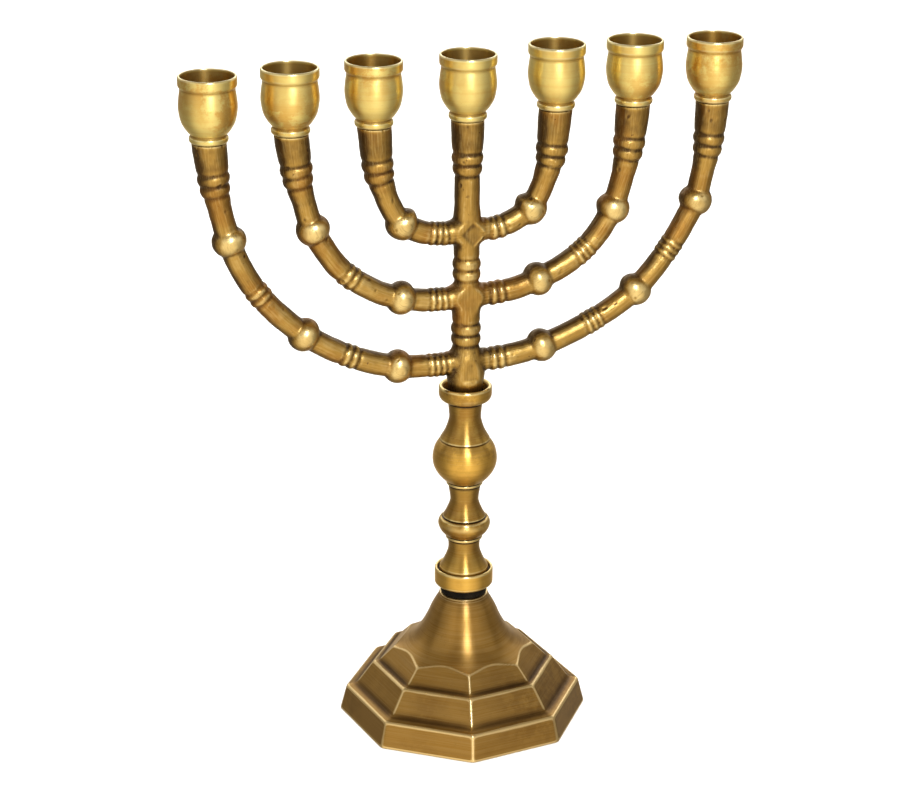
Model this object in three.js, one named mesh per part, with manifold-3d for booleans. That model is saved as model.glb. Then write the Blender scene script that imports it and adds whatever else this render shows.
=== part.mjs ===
// A seven-light brass menorah: a hollow stepped octagonal base, a turned stem, a cast
// candelabrum with six curved branches, and seven screwed-on candle cups.
// Millimetres, +Z up. The origin is the middle of the base's foot, the branches lie in
// the XZ plane, and every piece stands on the one vertical axis x = y = 0 or beside it.
import * as THREE from 'three';
import { mergeVertices } from 'three/addons/utils/BufferGeometryUtils.js';
import Module from 'manifold-3d';

const wasm = await Module();
wasm.setup();

// ---- driving dimensions ----

const TOUCH_GAP = 0.3;            // left between pieces that rest on each other
const BASE_TURN = -13;            // degrees, base corner against the branches' plane

// base
const BASE_CORNER_RADIUS = 56.3;
const BASE_TOP = 57.5;
const BASE_TOP_RADIUS = 10.9;
const BASE_PAD = 4.5;             // thickness of the metal that the bolt clamps
const BASE_SIDES = 8;

// M8 bolt and stud
const THREAD_RADIUS = 4;
const THREAD_HOLE = THREAD_RADIUS + TOUCH_GAP;
const HEX_ACROSS_FLATS = 13;
const HEX_HEIGHT = 5.3;

// stem
const STEM_BOTTOM = 62;
const STEM_TOP = 157;
const SOCKET_FLOOR = 151.8;
const BOLT_REACH = 24;            // length of bolt inside the stem
const STUD_BOTTOM = 131;
const STUD_TOP = 165.5;

// candelabrum
const CROSSINGS = [168, 198, 227.5];   // heights where the pairs of branches leave
const STUB_END = 8.7;                  // where a crossing stub ends, from the axis
const BRANCH_START = STUB_END + TOUCH_GAP;
const BRANCH_RADIUS = 5.05;
const TIP_RADIUS = 7.3;
const FLARE_START = 247;               // height where the tips begin to widen
const KNOP_RADIUS = 7.45;
const CUP_SEAT = 277;

// Each cup's place along X, and how far a hand-set branch holds its seat off CUP_SEAT.
const CUP_PLACES = {
  left_outer: { x: -111.6, rise: -1.6 },
  left_middle: { x: -77, rise: -0.6 },
  left_inner: { x: -41.2, rise: 0 },
  centre: { x: 0, rise: 0 },
  right_inner: { x: 39.4, rise: 1.8 },
  right_middle: { x: 74.8, rise: 1.2 },
  right_outer: { x: 111.6, rise: 0 },
};

// cups and their M5 screws
const CUP_HEIGHT = 28;
const CUP_RADIUS = 12.3;
const CANDLE_BORE = 11.25;             // radius, for a 22 mm candle
const CUP_FLOOR = 6.3;                 // above the seat
const HEAD_RECESS = 3.3;               // counterbore below the cup's floor
const HEAD_RECESS_RADIUS = 4.7;
const SCREW_RADIUS = 2.5;
const SCREW_HOLE = SCREW_RADIUS + TOUCH_GAP;
const SCREW_HEAD_RADIUS = 4.25;
const SCREW_HEAD = 2.8;
const SCREW_REACH = 13;                // length of screw inside the branch tip

// ---- materials ----

function brass(color, roughness) {
  return new THREE.MeshStandardMaterial({ color, roughness, metalness: 1 });
}

const satinBrass = brass(0xd9b04a, 0.28);
const castBrass = brass(0x9c7a35, 0.42);
const turnedBrass = brass(0xa9853a, 0.34);
const basePlate = brass(0x8f7236, 0.36);
const steel = new THREE.MeshStandardMaterial({ color: 0x8b8d90, roughness: 0.4, metalness: 1 });
const fibre = new THREE.MeshStandardMaterial({ color: 0x17140f, roughness: 0.8, metalness: 0 });

// ---- geometry helpers ----

// A closed three.js geometry as a manifold-3d solid.
function solidFrom(geometry) {
  const bare = geometry.clone();
  bare.deleteAttribute('normal');
  bare.deleteAttribute('uv');
  const merged = mergeVertices(bare, 1e-4);
  const corners = merged.index.array;
  const kept = [];
  for (let i = 0; i < corners.length; i += 3) {
    const [a, b, c] = [corners[i], corners[i + 1], corners[i + 2]];
    if (a !== b && b !== c && c !== a) kept.push(a, b, c);
  }
  return new wasm.Manifold(new wasm.Mesh({
    numProp: 3,
    vertProperties: new Float32Array(merged.attributes.position.array),
    triVerts: new Uint32Array(kept),
  }));
}

function geometryFrom(solid) {
  const mesh = solid.getMesh();
  const geometry = new THREE.BufferGeometry();
  geometry.setAttribute('position', new THREE.BufferAttribute(mesh.vertProperties, 3));
  geometry.setIndex(new THREE.BufferAttribute(mesh.triVerts, 1));
  return geometry;
}

// Turns an outline of [radius, height] points about the Z axis.
function turned(outline, segments, startDegrees = 0) {
  const points = outline.map(([radius, height]) => new THREE.Vector2(radius, height));
  const start = THREE.MathUtils.degToRad(startDegrees);
  const lathe = new THREE.LatheGeometry(points, segments, start);
  lathe.rotateX(Math.PI / 2);
  return lathe;
}

// Points along a smooth line through a few [radius, height] points.
function smooth(through, steps) {
  const curve = new THREE.SplineCurve(through.map(([r, z]) => new THREE.Vector2(r, z)));
  return curve.getPoints(steps).map((p) => [p.x, p.y]);
}

function cylinder(radius, bottom, top, segments) {
  return turned([[0, bottom], [radius, bottom], [radius, top], [0, top]], segments);
}

function box(width, depth, height, x, y, z) {
  return new THREE.BoxGeometry(width, depth, height).translate(x, y, z);
}

// ---- base ----

// Three octagonal tiers, each a little inside the one below.
function octagonTiers() {
  return [
    [0, 0], [BASE_CORNER_RADIUS, 0], [53.3, 11.7],
    [48.7, 12.7], [40.9, 23.4],
    [38.3, 23.9], [28.8, 33.4], [28.8, BASE_TOP + 1], [0, BASE_TOP + 1],
  ];
}

// The round trumpet that cuts arched tops into the highest facets.
function trumpet() {
  const flare = smooth([[36, 29.3], [29.5, 31.3], [23.8, 35], [20.1, 39.1], [17, 44.5],
    [14.2, 50.9], [11.3, 56]], 10);
  return [[0, -1], [60, -1], [60, 28.8], ...flare,
    [BASE_TOP_RADIUS, BASE_TOP], [0, BASE_TOP]];
}

function hollowTiers() {
  return [
    [0, -1], [53.4, -1], [50.5, 9.2], [45.9, 10.2], [38.1, 20.9],
    [36.1, 22.1], [26.5, 30.5], [26.5, BASE_TOP], [0, BASE_TOP],
  ];
}

function hollowTrumpet() {
  const flare = smooth([[34, 27.2], [27.8, 29.4], [22.3, 32.9], [18, 37.3], [14.6, 43],
    [11.8, 49.5]], 7);
  const top = BASE_TOP - BASE_PAD;
  return [[0, -2], [60, -2], [60, 26.9], ...flare, [10.9, top], [0, top]];
}

function baseShell() {
  const outside = solidFrom(turned(octagonTiers(), BASE_SIDES, BASE_TURN))
    .intersect(solidFrom(turned(trumpet(), 32)));
  const inside = solidFrom(turned(hollowTiers(), BASE_SIDES, BASE_TURN))
    .intersect(solidFrom(turned(hollowTrumpet(), 16)));
  const boltHole = solidFrom(cylinder(THREAD_HOLE, BASE_TOP - 10, BASE_TOP + 1, 16));
  return geometryFrom(outside.subtract(inside).subtract(boltHole));
}

// A flat ring between two heights.
function washer(radius, hole, bottom, top, segments) {
  return turned([[hole, bottom], [radius, bottom], [radius, top], [hole, top],
    [hole, bottom]], segments);
}

// Hex-headed bolt, pushed up from below through the base and into the stem.
function baseBolt(headTop) {
  const corner = HEX_ACROSS_FLATS / Math.sqrt(3);
  const headBottom = headTop - HEX_HEIGHT;
  const head = solidFrom(turned([[0, headBottom], [corner, headBottom], [corner, headTop],
    [0, headTop]], 6));
  const shank = cylinder(THREAD_RADIUS, headTop - 1, STEM_BOTTOM + BOLT_REACH, 16);
  return geometryFrom(head.add(solidFrom(shank)));
}

// ---- stem ----

function stemOutline() {
  const collarFoot = [[12.5, STEM_BOTTOM], [13.1, 62.7], [13.1, 69.3], [12.5, 70]];
  const lowerNeck = smooth([[10.9, 70.4], [9.1, 73.4], [7.4, 77.6], [7.3, 83.6]], 5);
  const ring = smooth([[8.7, 86], [10.7, 88.5], [11.7, 91.4], [10.2, 94.3]], 4);
  const middleNeck = smooth([[9.7, 94.8], [8.3, 97.4], [6.6, 101.6], [7.2, 109.2]], 4);
  const ball = smooth([[8.8, 112.2], [11.9, 115.6], [13.8, 119.3], [14.3, 123.4],
    [13.3, 128], [11.3, 131.2]], 5);
  const upperNeck = smooth([[11.1, 131.9], [8.8, 136], [7.2, 141.4], [7.7, 149.2]], 5);
  const collar = [[9, 149.9], [11.1, 151], [11.7, 152.4], [11.7, 156.4], [11.2, STEM_TOP],
    [10.4, STEM_TOP], [9.8, 156.2], [9.4, SOCKET_FLOOR]];
  return [
    [0, STEM_BOTTOM + BOLT_REACH + 2], [THREAD_HOLE, STEM_BOTTOM + BOLT_REACH + 2],
    [THREAD_HOLE, STEM_BOTTOM],
    ...collarFoot, [11.8, 68.2], ...lowerNeck, [8.2, 85], ...ring,
    ...middleNeck, [8.1, 111], ...ball, ...upperNeck, ...collar,
    [THREAD_HOLE, SOCKET_FLOOR], [THREAD_HOLE, STUD_BOTTOM - 1], [0, STUD_BOTTOM - 1],
  ];
}

// ---- candelabrum ----

// Each branch leaves its crossing and passes through these [distance out, height]
// stations; a third entry names the ornament that is turned on the branch there.
const BRANCHES = {
  left_inner: [
    [BRANCH_START, 227.2], [13.7, 227.2, 'threeRings'], [20.4, 228.8], [28.8, 233.4, 'knop'],
    [33.8, 240.6], [37, 248.8], [39.3, 257.5, 'beads'],
  ],
  left_middle: [
    [BRANCH_START, 197.6], [13.7, 197.5, 'threeRings'], [20, 198], [29.5, 200, 'knop'],
    [40.2, 203.8], [52.4, 211.8, 'rings'], [60.8, 221.2], [68, 234, 'knop'],
    [72, 247], [74.5, 258.3, 'beads'],
  ],
  left_outer: [
    [BRANCH_START, 167.7], [13.7, 167.6, 'threeRings'], [22, 167.8], [31, 168.8, 'knop'],
    [41.7, 171.5], [52.8, 175.8, 'rings'], [62.9, 181.2], [72.5, 187.6, 'knop'],
    [83, 197.1], [92, 207.5, 'rings'], [99, 219], [104.1, 232, 'knop'],
    [107.6, 246], [109.8, 257.2, 'beads'],
  ],
  right_inner: [
    [BRANCH_START, 227.7], [13.2, 227.8, 'rings'], [20.7, 230.3], [28.5, 235.3, 'knop'],
    [32.8, 242.2], [35.6, 250], [37.7, 258.5, 'beads'],
  ],
  right_middle: [
    [BRANCH_START, 198.2], [13.4, 198.3, 'rings'], [23.3, 199.7], [32.7, 202.7, 'knop'],
    [43, 207.1], [53, 213.8, 'threeRings'], [60.2, 221.5], [66.7, 232.2, 'knop'],
    [70.6, 245.4], [73.1, 258.8, 'beads'],
  ],
  right_outer: [
    [BRANCH_START, 168.1], [13.8, 168.2, 'rings'], [25, 169.4], [34.8, 171.8, 'knop'],
    [46.4, 175.6], [58.4, 181, 'threeRings'], [68.6, 186.6], [78.3, 193.6, 'knop'],
    [86.3, 201.9], [93.5, 211.3, 'threeRings'], [99.8, 221.6], [105.3, 232.5, 'knop'],
    [108.4, 245.7], [110.3, 257.5, 'beads'],
  ],
};

// Radius added along the branch, as [distance from the ornament's middle, extra].
const ORNAMENTS = {
  rings: [[-4, 0], [-3.4, -0.3], [-1.7, 0.4], [0, -0.3], [1.7, 0.4], [3.4, -0.3], [4, 0]],
  threeRings: [[-4.6, 0], [-4.1, -0.3], [-2.7, 0.4], [-1.35, -0.3], [0, 0.4], [1.35, -0.3], [2.7, 0.4],
    [4.1, -0.3], [4.6, 0]],
  beads: [[-7, 0], [-4.7, 0.3], [-2.3, -0.3], [0, 0.3], [2.3, -0.3], [4.7, 0.3], [7, 0]],
  knop: [[-5.4, 0.1], [-3.4, 1.6], [0, KNOP_RADIUS - BRANCH_RADIUS], [3.4, 1.6], [5.4, 0.1]],
};

// The bare bar: it widens quickly below the cups, then runs nearly straight.
function plainRadius(height) {
  const share = THREE.MathUtils.clamp((height - FLARE_START) / (CUP_SEAT - FLARE_START), 0, 1);
  return THREE.MathUtils.lerp(BRANCH_RADIUS, TIP_RADIUS, Math.sin(share * Math.PI / 2));
}

// The hole that takes a cup's screw, for a branch or shaft that ends at tipHeight.
function tapScrewHole(solid, x, tipHeight) {
  const hole = cylinder(SCREW_HOLE, tipHeight - SCREW_REACH - 2, tipHeight + 1, 10);
  return solid.subtract(solidFrom(hole.translate(x, 0, 0)));
}

// A round bar bent along a line in the XZ plane, thickened by its ornaments and cut
// level at the tip, where the cup's screw enters.
function branchGeometry(stations, cupPlace) {
  const side = Math.sign(cupPlace.x);
  const tipHeight = CUP_SEAT + cupPlace.rise - TOUCH_GAP;
  const route = [...stations, [Math.abs(cupPlace.x), tipHeight + 1]];
  const knots = route.map(([out, height]) => new THREE.Vector3(side * out, 0, height));
  const line = new THREE.CatmullRomCurve3(knots, false, 'centripetal');
  const finer = 20;
  line.arcLengthDivisions = finer * (route.length - 1);
  const lengths = line.getLengths();
  const total = lengths[lengths.length - 1];
  const heightAt = (distance) => line.getPointAt(distance / total).z;

  const outline = [[0, 0]];
  route.forEach(([, height, ornament], i) => {
    const here = lengths[i * finer];
    for (const [along, extra] of ORNAMENTS[ornament] ?? [[0, 0]]) {
      const distance = THREE.MathUtils.clamp(here + along, 0, total);
      outline.push([plainRadius(heightAt(distance)) + extra, distance]);
    }
  });
  outline.push([0, total]);

  const points = outline.map(([radius, distance]) => new THREE.Vector2(radius, distance));
  const bar = new THREE.LatheGeometry(points, 8, Math.PI / 8);
  const position = bar.attributes.position;
  const across = new THREE.Vector3();
  for (let i = 0; i < position.count; i += 1) {
    const [sideways, distance, depth] = [position.getX(i), position.getY(i), position.getZ(i)];
    const share = THREE.MathUtils.clamp(distance / total, 0, 1);
    const centre = line.getPointAt(share);
    const along = line.getTangentAt(share);
    across.set(along.z, 0, -along.x).multiplyScalar(sideways);
    position.setXYZ(i, centre.x + across.x, -depth, centre.z + across.z);
  }
  const aboveTip = box(20, 20, 10, cupPlace.x, 0, tipHeight + 5);
  const trimmed = solidFrom(bar).subtract(solidFrom(aboveTip));
  return geometryFrom(tapScrewHole(trimmed, cupPlace.x, tipHeight));
}

function shaftOutline() {
  const bead = (height, radius) => ORNAMENTS.beads.map(([along, extra]) => (
    [radius + extra, height + along]));
  const [low, middle, high] = CROSSINGS;
  return [
    [0, SOCKET_FLOOR + TOUCH_GAP], [6.6, SOCKET_FLOOR + TOUCH_GAP], [8.5, 162.5],
    [7.8, low], [6.4, 173.5], ...bead(181, 6.3), [6.8, middle - 3], [6.8, middle + 3],
    ...bead(210.5, 5.8), [6.9, high - 5], [6.9, high + 2], [5.4, high + 12],
    ...bead(257.5, 5.9), [7, 268], [TIP_RADIUS, CUP_SEAT - TOUCH_GAP],
    [0, CUP_SEAT - TOUCH_GAP],
  ];
}

// A crossing: a bar along X that swells into the shaft, filed flat front and back.
function crossing(height) {
  const outline = [[0, -STUB_END], [BRANCH_RADIUS, -STUB_END], [6.9, -3.5], [6.9, 3.5],
    [BRANCH_RADIUS, STUB_END], [0, STUB_END]];
  return solidFrom(turned(outline, 12).rotateY(Math.PI / 2).translate(0, 0, height));
}

function centreShaft() {
  let shaft = solidFrom(turned(shaftOutline(), 12));
  for (const height of CROSSINGS) {
    shaft = shaft.add(crossing(height));
    for (const side of [-1, 1]) {
      shaft = shaft.subtract(solidFrom(box(14, 4, 11, 0, side * 7.9, height)));
    }
  }
  const studHole = cylinder(THREAD_HOLE, SOCKET_FLOOR - 1, STUD_TOP + 1, 12);
  const drilled = shaft.subtract(solidFrom(studHole));
  return geometryFrom(tapScrewHole(drilled, 0, CUP_SEAT - TOUCH_GAP));
}

// ---- cups ----

// Heights here start at the cup's seat.
function cupOutline() {
  const bowl = smooth([[7.5, 3.3], [9.3, 5.6], [11.2, 9.3], [12.25, 15.2], [11.8, 22.8]], 6);
  const innerBowl = smooth([[CANDLE_BORE, 13.6], [10.3, 10.6], [7.3, CUP_FLOOR]], 2);
  return [
    [SCREW_HOLE, 0], [7.5, 0], [8.2, 0.8], [8.2, 2.3], ...bowl,
    [CUP_RADIUS, 23.5], [CUP_RADIUS, CUP_HEIGHT - 0.4], [CUP_RADIUS - 0.4, CUP_HEIGHT],
    [CANDLE_BORE, CUP_HEIGHT], ...innerBowl,
    [HEAD_RECESS_RADIUS, CUP_FLOOR], [HEAD_RECESS_RADIUS, CUP_FLOOR - HEAD_RECESS],
    [SCREW_HOLE, CUP_FLOOR - HEAD_RECESS], [SCREW_HOLE, 0],
  ];
}

// Slotted cheese-head screw; heights start at the cup's seat.
function cupScrew() {
  const headBottom = CUP_FLOOR - HEAD_RECESS + TOUCH_GAP;
  const headTop = headBottom + SCREW_HEAD;
  const body = turned([[0, -SCREW_REACH], [SCREW_RADIUS, -SCREW_REACH],
    [SCREW_RADIUS, headBottom], [SCREW_HEAD_RADIUS, headBottom],
    [SCREW_HEAD_RADIUS, headTop], [0, headTop]], 12);
  const slot = box(12, 1.2, 2.4, 0, 0, headTop);
  return geometryFrom(solidFrom(body).subtract(solidFrom(slot)));
}

// ---- assembly ----

const group = new THREE.Group();
group.name = 'menorah';

function addPiece(name, geometry, material, x = 0, z = 0) {
  const mesh = new THREE.Mesh(geometry, material);
  mesh.name = name;
  mesh.position.set(x, 0, z);
  group.add(mesh);
}

const clampUnderside = BASE_TOP - BASE_PAD - TOUCH_GAP;
const boltWasher = 1.6;

addPiece('base_shell', baseShell(), basePlate);
addPiece('base_bolt_washer',
  washer(8, THREAD_HOLE, clampUnderside - boltWasher, clampUnderside, 20), steel);
addPiece('base_bolt', baseBolt(clampUnderside - boltWasher - TOUCH_GAP), steel);
addPiece('neck_spacer',
  washer(10.3, THREAD_HOLE, BASE_TOP + TOUCH_GAP, STEM_BOTTOM - TOUCH_GAP, 24), fibre);
addPiece('stem', geometryFrom(solidFrom(turned(stemOutline(), 24))), turnedBrass);
addPiece('candelabrum_stud', cylinder(THREAD_RADIUS, STUD_BOTTOM, STUD_TOP, 16), steel);
addPiece('centre_shaft', centreShaft(), castBrass);

for (const [name, stations] of Object.entries(BRANCHES)) {
  addPiece(`branch_${name}`, branchGeometry(stations, CUP_PLACES[name]), castBrass);
}

Object.values(CUP_PLACES).forEach(({ x, rise }, i) => {
  const cup = geometryFrom(solidFrom(turned(cupOutline(), 16)));
  addPiece(`cup_${i + 1}`, cup, satinBrass, x, CUP_SEAT + rise);
  addPiece(`cup_screw_${i + 1}`, cupScrew(), steel, x, CUP_SEAT + rise);
});

export default group;
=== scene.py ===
"""A seven-light brass menorah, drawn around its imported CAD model.

Lengths in the outlines are millimetres, as in the CAD model, and become metres when a
mesh is made. Every piece is rebuilt from its outline with rounded edges, grooves,
threads and casting marks, inside the box of the CAD node that it replaces.
"""

import math

import bmesh
import bpy
import numpy as np
from mathutils import Matrix, Vector, kdtree, noise


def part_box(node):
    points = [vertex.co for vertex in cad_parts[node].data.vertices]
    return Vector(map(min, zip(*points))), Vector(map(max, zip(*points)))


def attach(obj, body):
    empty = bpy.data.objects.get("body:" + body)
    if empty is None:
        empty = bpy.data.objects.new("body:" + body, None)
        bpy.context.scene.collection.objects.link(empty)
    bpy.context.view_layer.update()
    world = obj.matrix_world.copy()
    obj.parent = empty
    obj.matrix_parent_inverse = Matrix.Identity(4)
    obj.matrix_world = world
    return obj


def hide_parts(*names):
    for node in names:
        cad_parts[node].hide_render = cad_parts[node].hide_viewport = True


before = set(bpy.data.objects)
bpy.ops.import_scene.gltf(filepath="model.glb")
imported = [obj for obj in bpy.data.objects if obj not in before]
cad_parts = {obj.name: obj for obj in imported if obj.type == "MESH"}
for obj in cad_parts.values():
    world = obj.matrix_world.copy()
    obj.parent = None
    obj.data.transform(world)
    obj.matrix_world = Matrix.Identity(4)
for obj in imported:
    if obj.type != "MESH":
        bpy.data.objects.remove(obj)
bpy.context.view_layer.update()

MM = 0.001
TOUCH_GAP = 0.3
RING = 96                        # segments round a turned piece

# the same driving sizes as the CAD model
BASE_SIDES = 8
BASE_TURN = -13                  # degrees
BASE_CORNER_RADIUS = 56.3
BASE_TOP = 57.5
BASE_TOP_RADIUS = 10.9
BASE_PAD = 4.5
THREAD_RADIUS = 4                # M8 bolt and stud
THREAD_PITCH = 1.25
THREAD_HOLE = THREAD_RADIUS + TOUCH_GAP
HEX_ACROSS_FLATS = 13
HEX_HEIGHT = 5.3
STEM_BOTTOM = 62
STEM_TOP = 157
SOCKET_FLOOR = 151.8
BOLT_REACH = 24
STUD_BOTTOM = 131
CROSSINGS = (168, 198, 227.5)
BRANCH_RADIUS = 5.05
TIP_RADIUS = 7.3
FLARE_START = 247
KNOP_RADIUS = 7.45
KNOP_HALF_LENGTH = 6.7
CUP_SEAT = 277
CUP_HEIGHT = 28
CUP_RADIUS = 12.3
CANDLE_BORE = 11.25
CUP_FLOOR = 6.3
HEAD_RECESS = 3.3
HEAD_RECESS_RADIUS = 4.7
SCREW_RADIUS = 2.5               # M5 cup screws
SCREW_PITCH = 0.8
SCREW_HOLE = SCREW_RADIUS + TOUCH_GAP
SCREW_HEAD_RADIUS = 4.25
SCREW_HEAD = 2.8
SCREW_REACH = 13
FLAT_DEPTHS = (7.4, 5.7, 5.7)    # from the branches' plane to each crossing's filed face


# ---- outlines ----

def spline(through, steps):
    """Points along a smooth line (Catmull-Rom) through a few points."""
    pts = np.array([through[0], *through, through[-1]], float)
    spans = len(through) - 1
    line = []
    for k in range(steps + 1):
        t = k / steps * spans
        i = min(int(t), spans - 1)
        u = t - i
        a, b, c, d = pts[i:i + 4]
        v0 = (c - a) / 2
        v1 = (d - b) / 2
        line.append((2 * b - 2 * c + v0 + v1) * u ** 3
                    + (3 * c - 3 * b - 2 * v0 - v1) * u ** 2 + v0 * u + b)
    return [tuple(p) for p in line]


def rounded(corners, fillet=0.4, steps=4, closed=False):
    """The outline with each corner replaced by a small arc; a third entry in a corner
    gives its own fillet."""
    pts = [np.array(c[:2], float) for c in corners]
    sizes = [c[2] if len(c) > 2 else fillet for c in corners]
    count = len(pts)
    out = []
    for i, here in enumerate(pts):
        ends = not closed and i in (0, count - 1)
        before = pts[i - 1] - here
        after = pts[(i + 1) % count] - here
        lengths = np.linalg.norm(before), np.linalg.norm(after)
        reach = min(sizes[i], 0.45 * min(lengths))
        if ends or reach <= 1e-6:
            out.append(tuple(here))
            continue
        start = here + before / lengths[0] * reach
        stop = here + after / lengths[1] * reach
        for k in range(steps + 1):
            u = k / steps
            out.append(tuple((1 - u) ** 2 * start + 2 * u * (1 - u) * here + u * u * stop))
    return out


def fine(outline, step):
    """The outline with long straight stretches cut into shorter ones."""
    out = [outline[0]]
    for a, b in zip(outline, outline[1:]):
        parts = max(1, math.ceil(math.dist(a, b) / step))
        out += [tuple(np.array(a) + (np.array(b) - np.array(a)) * k / parts)
                for k in range(1, parts + 1)]
    return out


# ---- meshes ----

def make_object(name, verts, faces, smooth_angle=40):
    """A closed mesh in metres, faces out, smooth except over sharp corners."""
    mesh = bpy.data.meshes.new(name)
    mesh.from_pydata([tuple(v) for v in verts], [], faces)
    bm = bmesh.new()
    bm.from_mesh(mesh)
    if bm.calc_volume(signed=True) < 0:
        bmesh.ops.reverse_faces(bm, faces=bm.faces)
    bm.to_mesh(mesh)
    bm.free()
    mesh.polygons.foreach_set("use_smooth", [True] * len(mesh.polygons))
    mesh.set_sharp_from_angle(angle=math.radians(smooth_angle))
    obj = bpy.data.objects.new(name, mesh)
    bpy.context.scene.collection.objects.link(obj)
    return obj


def skin(name, rings, closed=False, **options):
    """A mesh through rings of points; a ring of one point closes an end."""
    verts = []
    starts = []
    for ring in rings:
        starts.append(len(verts))
        verts += [np.array(p) * MM for p in ring]
    faces = []
    pairs = list(zip(range(len(rings)), range(1, len(rings))))
    if closed:
        pairs.append((len(rings) - 1, 0))
    for a, b in pairs:
        na, nb = len(rings[a]), len(rings[b])
        for k in range(max(na, nb)):
            corners = [starts[a] + k % na, starts[a] + (k + 1) % na,
                       starts[b] + (k + 1) % nb, starts[b] + k % nb]
            faces.append(list(dict.fromkeys(corners)))
    return make_object(name, verts, faces, **options)


def turned(name, outline, centre=(0, 0, 0), segments=RING, closed=False,
           radius_at=None, **options):
    """Turns an outline of (radius, height) about a vertical axis. radius_at(radius,
    height, angle) may change the radius round the piece."""
    angles = np.arange(segments) / segments * math.tau
    rings = []
    for radius, height in outline:
        if radius < 1e-6:
            rings.append([(centre[0], centre[1], centre[2] + height)])
            continue
        ring = []
        for angle in angles:
            r = radius_at(radius, height, angle) if radius_at else radius
            ring.append((centre[0] + r * math.cos(angle), centre[1] + r * math.sin(angle),
                         centre[2] + height))
        rings.append(ring)
    return skin(name, rings, closed, **options)


def apply_modifier(obj, kind, **settings):
    modifier = obj.modifiers.new(kind.lower(), kind)
    for key, value in settings.items():
        setattr(modifier, key, value)
    graph = bpy.context.evaluated_depsgraph_get()
    mesh = bpy.data.meshes.new_from_object(obj.evaluated_get(graph))
    obj.modifiers.clear()
    old = obj.data
    obj.data = mesh
    bpy.data.meshes.remove(old)


def join(name, objects):
    """One object holding copies of several objects' meshes, which are removed."""
    bm = bmesh.new()
    for o in objects:
        bm.from_mesh(o.data)
        bpy.data.objects.remove(o)
    mesh = bpy.data.meshes.new(name)
    bm.to_mesh(mesh)
    bm.free()
    joined = bpy.data.objects.new(name, mesh)
    bpy.context.scene.collection.objects.link(joined)
    return joined


def cut(obj, cutter):
    apply_modifier(obj, "BOOLEAN", operation="DIFFERENCE", solver="EXACT", object=cutter)
    bpy.data.objects.remove(cutter)


def coordinates(mesh):
    co = np.empty(len(mesh.vertices) * 3)
    mesh.vertices.foreach_get("co", co)
    return co.reshape(-1, 3)


def vertex_normals(mesh):
    normal = np.empty(len(mesh.vertices) * 3)
    mesh.vertex_normals.foreach_get("vector", normal)
    return normal.reshape(-1, 3)


def set_attribute(mesh, name, values):
    values = np.asarray(values, np.float32)
    kind = "FLOAT" if values.ndim == 1 else "FLOAT_VECTOR"
    attribute = mesh.attributes.new(name, kind, "POINT")
    attribute.data.foreach_set("value" if values.ndim == 1 else "vector", values.ravel())


def mark_wear_highlight_and_shade(obj, reach_mm, gain, crease_shade_mm, crease_shade_gain, extra=0):
    """Stores how convex (towards 1) or hollow (towards 0) the surface is, averaged over about
    reach_mm: wear on edges and ridges, with a painted highlight along them. Also stores how near
    it is to a crease: patina with painted shade in the hollows. extra is added to the first as a
    painted highlight."""
    mesh = obj.data
    co = coordinates(mesh)
    count = len(co)
    normal = vertex_normals(mesh)
    edges = np.empty(len(mesh.edges) * 2, int)
    mesh.edges.foreach_get("vertices", edges)
    a, b = edges.reshape(-1, 2).T
    step = co[b] - co[a]
    length = np.maximum(np.linalg.norm(step, axis=1), 1e-7)
    degree = np.maximum(np.bincount(a, minlength=count) + np.bincount(b, minlength=count), 1)

    def around(values):
        return (np.bincount(a, values[b], count) + np.bincount(b, values[a], count)) / degree

    def spread(values, reach):
        for _ in range(int(np.clip((reach * MM / np.median(length)) ** 2, 1, 90))):
            values = (values + around(values)) / 2
        return values

    bend = ((normal[b] - normal[a]) * step).sum(1) / length ** 2 * np.median(length)
    bent = (np.bincount(a, bend, count) + np.bincount(b, bend, count)) / degree
    wear_and_highlight = spread(bent, reach_mm)
    crease_shade_and_patina = spread(np.maximum(-bent - 0.01, 0), crease_shade_mm)
    set_attribute(mesh, "wear_and_highlight", np.clip(0.5 + gain * wear_and_highlight + extra, 0, 1))
    set_attribute(mesh, "crease_shade_and_patina", np.clip(crease_shade_gain * crease_shade_and_patina, 0, 1))


# ---- base ----

def octagon_angles(count):
    """Angles round the base, closer together near the octagon's corners."""
    first_corner = math.radians(BASE_TURN - 90)
    per_side = count // BASE_SIDES
    angles = []
    for k in range(count):
        side, step = divmod(k, per_side)
        across = 2 * step / per_side - 1
        across = math.copysign(1 - (1 - abs(across)) ** 1.6, across)
        angles.append(first_corner + (side + 0.5 + across / 2) * math.tau / BASE_SIDES)
    return angles


def octagon(angle, radius):
    """Radius at an angle of an octagon with slightly rounded corners."""
    sharpness = 150
    half_side = math.pi / BASE_SIDES
    first_side = math.radians(BASE_TURN - 90) + half_side
    sides = [max(0.0, math.cos(angle - first_side - 2 * k * half_side)) ** sharpness
             for k in range(BASE_SIDES)]
    return radius * math.cos(half_side) / sum(sides) ** (1 / sharpness)


def trumpet_radius(height, line):
    """Radius at a height of a line of (radius, height) points."""
    heights = [p[1] for p in line]
    radii = [p[0] for p in line]
    return float(np.interp(height, heights, radii))


def blended_min(a, b, width):
    """The smaller of two radii, with the crossing rounded over about width."""
    h = max(width - abs(a - b), 0) / width
    return min(a, b) - h * h * width / 4


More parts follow.
